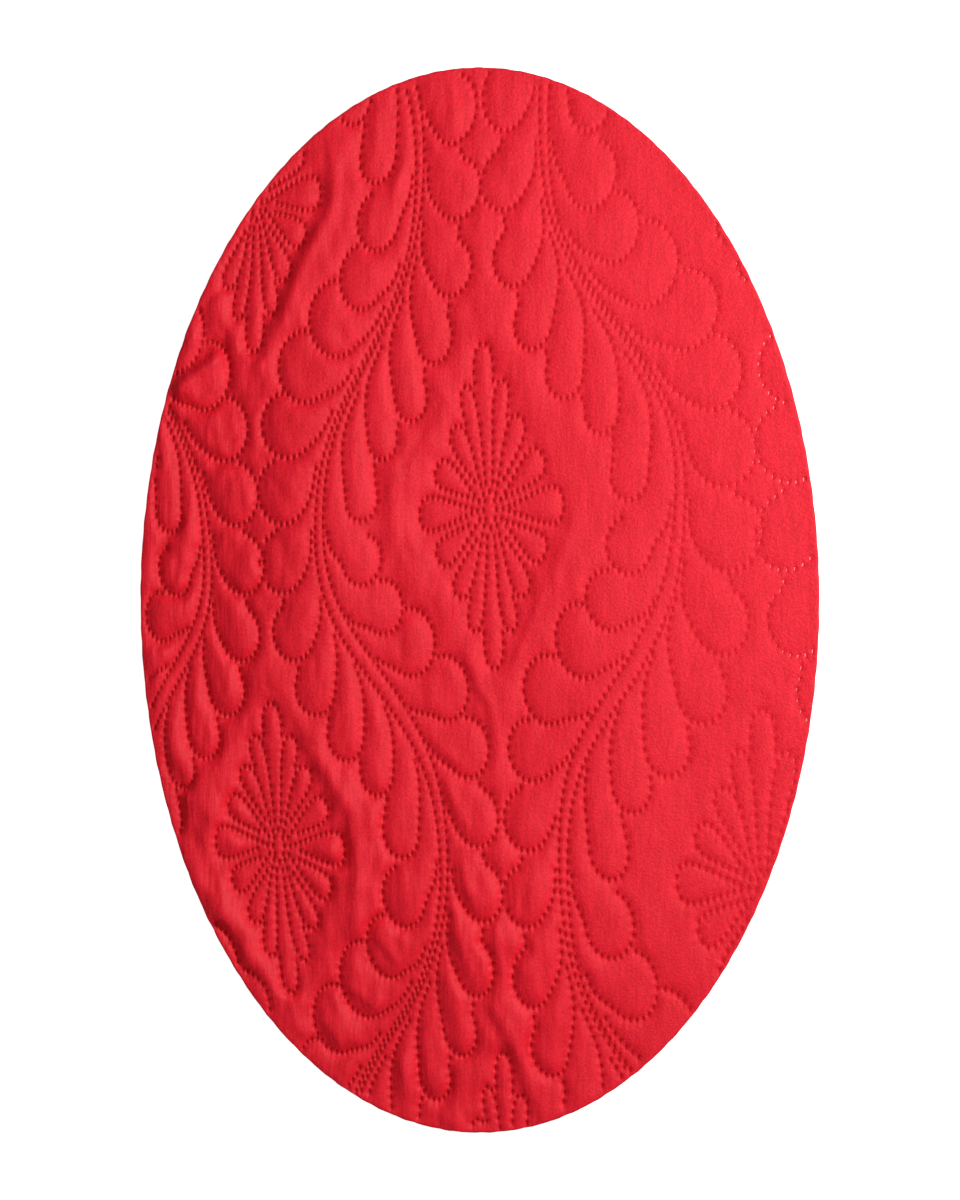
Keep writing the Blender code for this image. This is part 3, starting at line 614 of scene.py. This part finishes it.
def makeCloth():
    count = sheetNet["rimPoints"]
    turn = np.arange(count) * 2 * math.pi / count
    oval = np.c_[np.cos(turn), np.sin(turn)]
    rim = oval * [halfWidth - sheetNet["edgeRound"], halfLength - sheetNet["edgeRound"]]
    top, topFaces, topRim = triangulate(upperPoints(rim), count)
    topLies, meltedShadeShare = topHeight(top)
    underNet = hexPoints(sheetNet["underStep"], sheetNet["underInset"])
    under, underFaces, underRim = triangulate(np.vstack([rim, underNet]), count)
    underLies = lift(under)
    edge = edgePoints(turn, oval, underLies[underRim], topLies[topRim])

    points = np.vstack([np.c_[top, topLies], np.c_[under, underLies]] + edge)
    faces = topFaces + [tuple(len(top) + i for i in reversed(f)) for f in underFaces]
    first = len(top) + len(under)
    rings = [topRim]
    rings += [[first + ring * count + i for i in range(count)] for ring in range(len(edge))]
    rings.append([len(top) + i for i in underRim])
    for upper, lower in zip(rings, rings[1:]):
        for i in range(count):
            n = (i + 1) % count
            faces.append((lower[i], lower[n], upper[n], upper[i]))

    mesh = bpy.data.meshes.new("quiltedSheet")
    mesh.from_pydata((points * mm).tolist(), [], faces)
    mesh.update()
    mesh.shade_smooth()
    # the darker weld colour: melted fibre, weakened to the upper right as painted light
    meltedWithShade = np.zeros(len(points), np.float32)
    meltedWithShade[:len(top)] = meltedShadeShare
    loose = np.minimum(looseness(points[:, :2]), 1).astype(np.float32)
    for name, values in (("meltedWithShade", meltedWithShade), ("loose", loose)):
        mesh.attributes.new(name, "FLOAT", "POINT").data.foreach_set("value", values)
    backFaces = range(len(topFaces), len(mesh.polygons))
    return mesh, backFaces


def linked(name, mesh):
    piece = bpy.data.objects.new(name, mesh)
    bpy.context.scene.collection.objects.link(piece)
    return piece


clothMesh, backFaces = makeCloth()
cloth = linked("quiltedSheet", clothMesh)
clothMesh.calc_loop_triangles()
print("cloth triangles", len(clothMesh.loop_triangles))


# Finishes of the cloth. The grain is a fine pile with streaks along the cloth; where the cloth is loose, its
# bump follows the streaks more.
grainLook = {
    "pileDetail": 3.0, "pileRoughness": 0.65,
    "streakDetail": 2.0, "streakRoughness": 0.5, "streakStretch": 0.14,
}


def setInputs(node, **values):    # an underscore stands for a space in the input's name
    for name, value in values.items():
        node.inputs[name.replace("_", " ")].default_value = value


def grainGroup():    # gives a tone for the colour and a height for the bump
    group = bpy.data.node_groups.new("clothGrain", "ShaderNodeTree")
    face = group.interface
    for name in ("Pile Scale", "Streak Scale", "Streak Share", "Gather"):
        face.new_socket(name, in_out="INPUT", socket_type="NodeSocketFloat")
    for name in ("Tone", "Height"):
        face.new_socket(name, in_out="OUTPUT", socket_type="NodeSocketFloat")
    nodes, links = group.nodes, group.links
    start, end = nodes.new("NodeGroupInput"), nodes.new("NodeGroupOutput")
    place = nodes.new("ShaderNodeTexCoord")
    pile = nodes.new("ShaderNodeTexNoise")
    setInputs(pile, Detail=grainLook["pileDetail"], Roughness=grainLook["pileRoughness"])
    links.new(place.outputs["Object"], pile.inputs["Vector"])
    links.new(start.outputs["Pile Scale"], pile.inputs["Scale"])
    stretch = nodes.new("ShaderNodeMapping")
    stretch.inputs["Scale"].default_value = (1.0, grainLook["streakStretch"], 1.0)
    links.new(place.outputs["Object"], stretch.inputs["Vector"])
    streak = nodes.new("ShaderNodeTexNoise")
    setInputs(streak, Detail=grainLook["streakDetail"], Roughness=grainLook["streakRoughness"])
    links.new(stretch.outputs["Vector"], streak.inputs["Vector"])
    links.new(start.outputs["Streak Scale"], streak.inputs["Scale"])
    for share, name in (("Streak Share", "Tone"), ("Gather", "Height")):
        mix = nodes.new("ShaderNodeMix")
        links.new(start.outputs[share], mix.inputs["Factor"])
        links.new(pile.outputs["Fac"], mix.inputs["A"])
        links.new(streak.outputs["Fac"], mix.inputs["B"])
        links.new(mix.outputs["Result"], end.inputs[name])
    return group


grain = grainGroup()


def clothMaterial(name, look):
    material = bpy.data.materials.new(name)
    material.use_nodes = True
    nodes, links = material.node_tree.nodes, material.node_tree.links
    shader = nodes["Principled BSDF"]
    setInputs(shader, Roughness=look["roughness"], Specular_IOR_Level=look["specular"],
              Sheen_Weight=look["sheen"], Sheen_Roughness=look["sheenRoughness"],
              Sheen_Tint=look["sheenTint"])
    texture = nodes.new("ShaderNodeGroup")
    texture.node_tree = grain
    setInputs(texture, Pile_Scale=look["pileScale"], Streak_Scale=look["streakScale"],
              Streak_Share=look["streakShare"])
    loose = nodes.new("ShaderNodeAttribute")
    loose.attribute_name = "loose"
    links.new(loose.outputs["Fac"], texture.inputs["Gather"])
    tone = nodes.new("ShaderNodeValToRGB")
    for stop, at, colour in zip(tone.color_ramp.elements, look["toneRange"], (look["deep"], look["bright"])):
        stop.position, stop.color = at, colour
    links.new(texture.outputs["Tone"], tone.inputs["Fac"])
    # the darker weld colour: melted fibre, weakened to the upper right as painted light
    meltedWithShade = nodes.new("ShaderNodeAttribute")
    meltedWithShade.attribute_name = "meltedWithShade"
    darken = nodes.new("ShaderNodeMix")
    darken.data_type = "RGBA"
    links.new(meltedWithShade.outputs["Fac"], darken.inputs["Factor"])
    links.new(tone.outputs["Color"], darken.inputs["A"])
    darken.inputs["B"].default_value = look["weldColour"]
    links.new(darken.outputs["Result"], shader.inputs["Base Color"])
    bump = nodes.new("ShaderNodeBump")
    setInputs(bump, Strength=look["bump"], Distance=look["bumpDepth"])
    links.new(texture.outputs["Height"], bump.inputs["Height"])
    links.new(bump.outputs["Normal"], shader.inputs["Normal"])
    return material


faceLook = {
    "deep": (0.63, 0.003, 0.015, 1), "bright": (0.86, 0.011, 0.033, 1), "toneRange": (0.36, 0.64),
    "weldColour": (0.54, 0.001, 0.006, 1),
    "roughness": 0.62, "specular": 0.32,
    "sheen": 0.0, "sheenRoughness": 0.5, "sheenTint": (1.0, 0.6, 0.7, 1),
    "pileScale": 740.0, "streakScale": 420.0, "streakShare": 0.35, "bump": 1.0, "bumpDepth": 0.0006,
}
backLook = dict(faceLook, bump=0.35, sheen=0.1)
cloth.data.materials.append(clothMaterial("scarletFace", faceLook))
cloth.data.materials.append(clothMaterial("scarletBack", backLook))
for number in backFaces:
    clothMesh.polygons[number].material_index = 1


# The melted film in each weld's bottom, one cup on each weld.
weldFilm = {
    "wide": 0.38, "tall": 1.05, "cup": 0.07, "above": 0.03,
    "sides": 8, "rings": 2, "coneDepth": 0.0001,
    "sizes": (0.85, 1.12), "seed": 3,
    "paintedGlintWay": (1.0, 0.1, 0.0), "paintedGlintFrom": 10.0, "paintedGlintTo": 184.0, "paintedLightAt": 0.85,    # painted light: paler to the right, toward the key lamp, with a painted glint at the far right
    # painted light and painted glint: deep red at the left, lighter red and whitish pink toward the right
    "deep": (0.60, 0.001, 0.006, 1), "bright": (0.74, 0.008, 0.020, 1), "paintedGlint": (0.95, 0.30, 0.34, 1),
    "roughness": 0.28, "specular": 0.3,
}


def filmMaterial():
    material = bpy.data.materials.new("meltedWeld")
    material.use_nodes = True
    nodes, links = material.node_tree.nodes, material.node_tree.links
    shader = nodes["Principled BSDF"]
    setInputs(shader, Roughness=weldFilm["roughness"], Specular_IOR_Level=weldFilm["specular"])
    # painted light: the film's colour brightens along the cloth toward the key lamp and ends in a painted
    # glint
    place = nodes.new("ShaderNodeTexCoord")
    slant = nodes.new("ShaderNodeVectorMath")
    slant.operation = "DOT_PRODUCT"
    slant.inputs[1].default_value = weldFilm["paintedGlintWay"]
    links.new(place.outputs["Object"], slant.inputs[0])
    far = nodes.new("ShaderNodeMapRange")
    setInputs(far, From_Min=weldFilm["paintedGlintFrom"] * mm, From_Max=weldFilm["paintedGlintTo"] * mm)
    links.new(slant.outputs["Value"], far.inputs["Value"])
    tone = nodes.new("ShaderNodeValToRGB")
    tone.color_ramp.elements[0].color = weldFilm["deep"]
    tone.color_ramp.elements[1].color = weldFilm["paintedGlint"]
    tone.color_ramp.elements.new(weldFilm["paintedLightAt"]).color = weldFilm["bright"]
    links.new(far.outputs["Result"], tone.inputs["Fac"])
    links.new(tone.outputs["Color"], shader.inputs["Base Color"])
    return material


def filmTree(material):    # puts a cup on each point, in varied sizes
    tree = bpy.data.node_groups.new("weldFilm", "GeometryNodeTree")
    face = tree.interface
    face.new_socket("Geometry", in_out="INPUT", socket_type="NodeSocketGeometry")
    for name in ("Wide", "Tall", "Cup"):
        face.new_socket(name, in_out="INPUT", socket_type="NodeSocketFloat")
    face.new_socket("Seed", in_out="INPUT", socket_type="NodeSocketInt")
    face.new_socket("Geometry", in_out="OUTPUT", socket_type="NodeSocketGeometry")
    nodes, links = tree.nodes, tree.links
    start, end = nodes.new("NodeGroupInput"), nodes.new("NodeGroupOutput")
    cone = nodes.new("GeometryNodeMeshCone")    # a flat cone of rings, hollowed into a cup
    cone.fill_type = "NONE"
    setInputs(cone, Vertices=weldFilm["sides"], Side_Segments=weldFilm["rings"], Radius_Top=0.0,
              Radius_Bottom=1.0, Depth=weldFilm["coneDepth"])
    place = nodes.new("GeometryNodeInputPosition")
    split = nodes.new("ShaderNodeSeparateXYZ")
    links.new(place.outputs["Position"], split.inputs["Vector"])
    square = nodes.new("ShaderNodeVectorMath")
    square.operation = "DOT_PRODUCT"
    flat, bowl = nodes.new("ShaderNodeCombineXYZ"), nodes.new("ShaderNodeCombineXYZ")
    for axis in "XY":
        links.new(split.outputs[axis], flat.inputs[axis])
        links.new(split.outputs[axis], bowl.inputs[axis])
    links.new(flat.outputs["Vector"], square.inputs[0])
    links.new(flat.outputs["Vector"], square.inputs[1])
    links.new(square.outputs["Value"], bowl.inputs["Z"])    # the further out, the higher
    hollow = nodes.new("GeometryNodeSetPosition")
    links.new(cone.outputs["Mesh"], hollow.inputs["Geometry"])
    links.new(bowl.outputs["Vector"], hollow.inputs["Position"])
    size = nodes.new("ShaderNodeCombineXYZ")
    for axis, name in zip("XYZ", ("Wide", "Tall", "Cup")):
        links.new(start.outputs[name], size.inputs[axis])
    vary = nodes.new("FunctionNodeRandomValue")
    vary.data_type = "FLOAT"
    vary.inputs[2].default_value, vary.inputs[3].default_value = weldFilm["sizes"]
    links.new(start.outputs["Seed"], vary.inputs["Seed"])
    grow = nodes.new("ShaderNodeVectorMath")
    grow.operation = "SCALE"
    links.new(size.outputs["Vector"], grow.inputs[0])
    links.new(vary.outputs[1], grow.inputs["Scale"])
    onWelds = nodes.new("GeometryNodeInstanceOnPoints")
    links.new(start.outputs["Geometry"], onWelds.inputs["Points"])
    links.new(hollow.outputs["Geometry"], onWelds.inputs["Instance"])
    links.new(grow.outputs["Vector"], onWelds.inputs["Scale"])
    realize = nodes.new("GeometryNodeRealizeInstances")
    links.new(onWelds.outputs["Instances"], realize.inputs["Geometry"])
    smooth = nodes.new("GeometryNodeSetShadeSmooth")
    links.new(realize.outputs["Geometry"], smooth.inputs["Geometry"])
    finish = nodes.new("GeometryNodeSetMaterial")
    finish.inputs["Material"].default_value = material
    links.new(smooth.outputs["Geometry"], finish.inputs["Geometry"])
    links.new(finish.outputs["Geometry"], end.inputs["Geometry"])
    return tree


def makeFilm():    # the points are the welds' bottoms
    height, _ = topHeight(welds)
    spots = bpy.data.meshes.new("weldPlaces")
    spots.from_pydata((np.c_[welds, height + weldFilm["above"]] * mm).tolist(), [], [])
    holder = linked("weldPlaces", spots)
    modifier = holder.modifiers.new("film", "NODES")
    modifier.node_group = filmTree(filmMaterial())
    items = modifier.node_group.interface.items_tree
    sockets = {item.name: item.identifier for item in items if item.in_out == "INPUT"}
    for name in ("Wide", "Tall", "Cup"):
        modifier[sockets[name]] = weldFilm[name.lower()] * mm
    modifier[sockets["Seed"]] = weldFilm["seed"]
    graph = bpy.context.evaluated_depsgraph_get()
    made = bpy.data.meshes.new_from_object(holder.evaluated_get(graph), depsgraph=graph)
    bpy.data.objects.remove(holder)
    return linked("weldFilm", made)


film = makeFilm()
film.data.calc_loop_triangles()
print("film triangles", len(film.data.loop_triangles))

for piece in (cloth, film):
    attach(piece, "root")
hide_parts("quilted_cloth")


# Floor, lights, camera and backdrop, in metres.
studio = {
    "floorHalf": 4.0, "floorDrop": 0.0005, "floorColour": (0.86, 0.86, 0.86, 1), "floorRoughness": 0.9,
    "floorGlow": 0.90, "white": (1.0, 1.0, 1.0, 1),
    "worldColour": (1.0, 0.55, 0.60, 1), "worldStrength": 0.28,
    "keyPlace": (0.81, 0.30, 0.87), "keySize": 0.34, "keyPower": 14.6, "keyColour": (1.0, 1.0, 1.0),
    "fillPlace": (-0.5, -0.3, 1.6), "fillSize": 1.4, "fillPower": 2.0, "fillColour": (1.0, 0.55, 0.62),
    "frameHeight": 0.672, "lens": 85.0, "sensor": 36.0, "aim": (0.0, 0.0, 0.004),
}


def makeFloor():
    mesh = bpy.data.meshes.new("floor")
    far, low = studio["floorHalf"], -studio["floorDrop"]
    corners = [(-far, -far, low), (far, -far, low), (far, far, low), (-far, far, low)]
    mesh.from_pydata(corners, [], [(0, 1, 2, 3)])
    material = bpy.data.materials.new("paleFloor")
    material.use_nodes = True
    setInputs(material.node_tree.nodes["Principled BSDF"], Base_Color=studio["floorColour"],
              Roughness=studio["floorRoughness"], Emission_Color=studio["white"],
              Emission_Strength=studio["floorGlow"])
    mesh.materials.append(material)
    floor = linked("floor", mesh)
    floor.visible_diffuse = floor.visible_glossy = False    # its glow doesn't light the cloth's edge


def makeLight(name, place, size, power, colour):    # a round lamp, turned to the middle of the cloth
    data = bpy.data.lights.new(name, "AREA")
    data.shape, data.size, data.energy, data.color = "DISK", size, power, colour
    light = bpy.data.objects.new(name, data)
    light.location = place
    light.rotation_euler = (-Vector(place)).to_track_quat("-Z", "Y").to_euler()
    bpy.context.scene.collection.objects.link(light)


def makeCamera():
    data = bpy.data.cameras.new("camera")
    data.lens, data.sensor_width = studio["lens"], studio["sensor"]
    camera = bpy.data.objects.new("camera", data)
    away = studio["frameHeight"] * studio["lens"] / data.sensor_width
    camera.location = Vector(studio["aim"]) + Vector((0, 0, away))
    bpy.context.scene.collection.objects.link(camera)
    bpy.context.scene.camera = camera


def makeRoom():    # soft light from all round, and a backdrop as pale as the floor
    world = bpy.data.worlds.new("room")
    world.use_nodes = True
    nodes, links = world.node_tree.nodes, world.node_tree.links
    glow, backdrop = nodes["Background"], nodes.new("ShaderNodeBackground")
    setInputs(glow, Color=studio["worldColour"], Strength=studio["worldStrength"])
    setInputs(backdrop, Color=studio["white"])
    ray, mix = nodes.new("ShaderNodeLightPath"), nodes.new("ShaderNodeMixShader")
    links.new(ray.outputs["Is Camera Ray"], mix.inputs[0])
    links.new(glow.outputs["Background"], mix.inputs[1])
    links.new(backdrop.outputs["Background"], mix.inputs[2])
    links.new(mix.outputs["Shader"], nodes["World Output"].inputs["Surface"])
    bpy.context.scene.world = world


makeFloor()
for light in ("key", "fill"):
    makeLight(light, *(studio[light + part] for part in ("Place", "Size", "Power", "Colour")))
makeCamera()
makeRoom()
bpy.context.scene.view_settings.view_transform = "Standard"
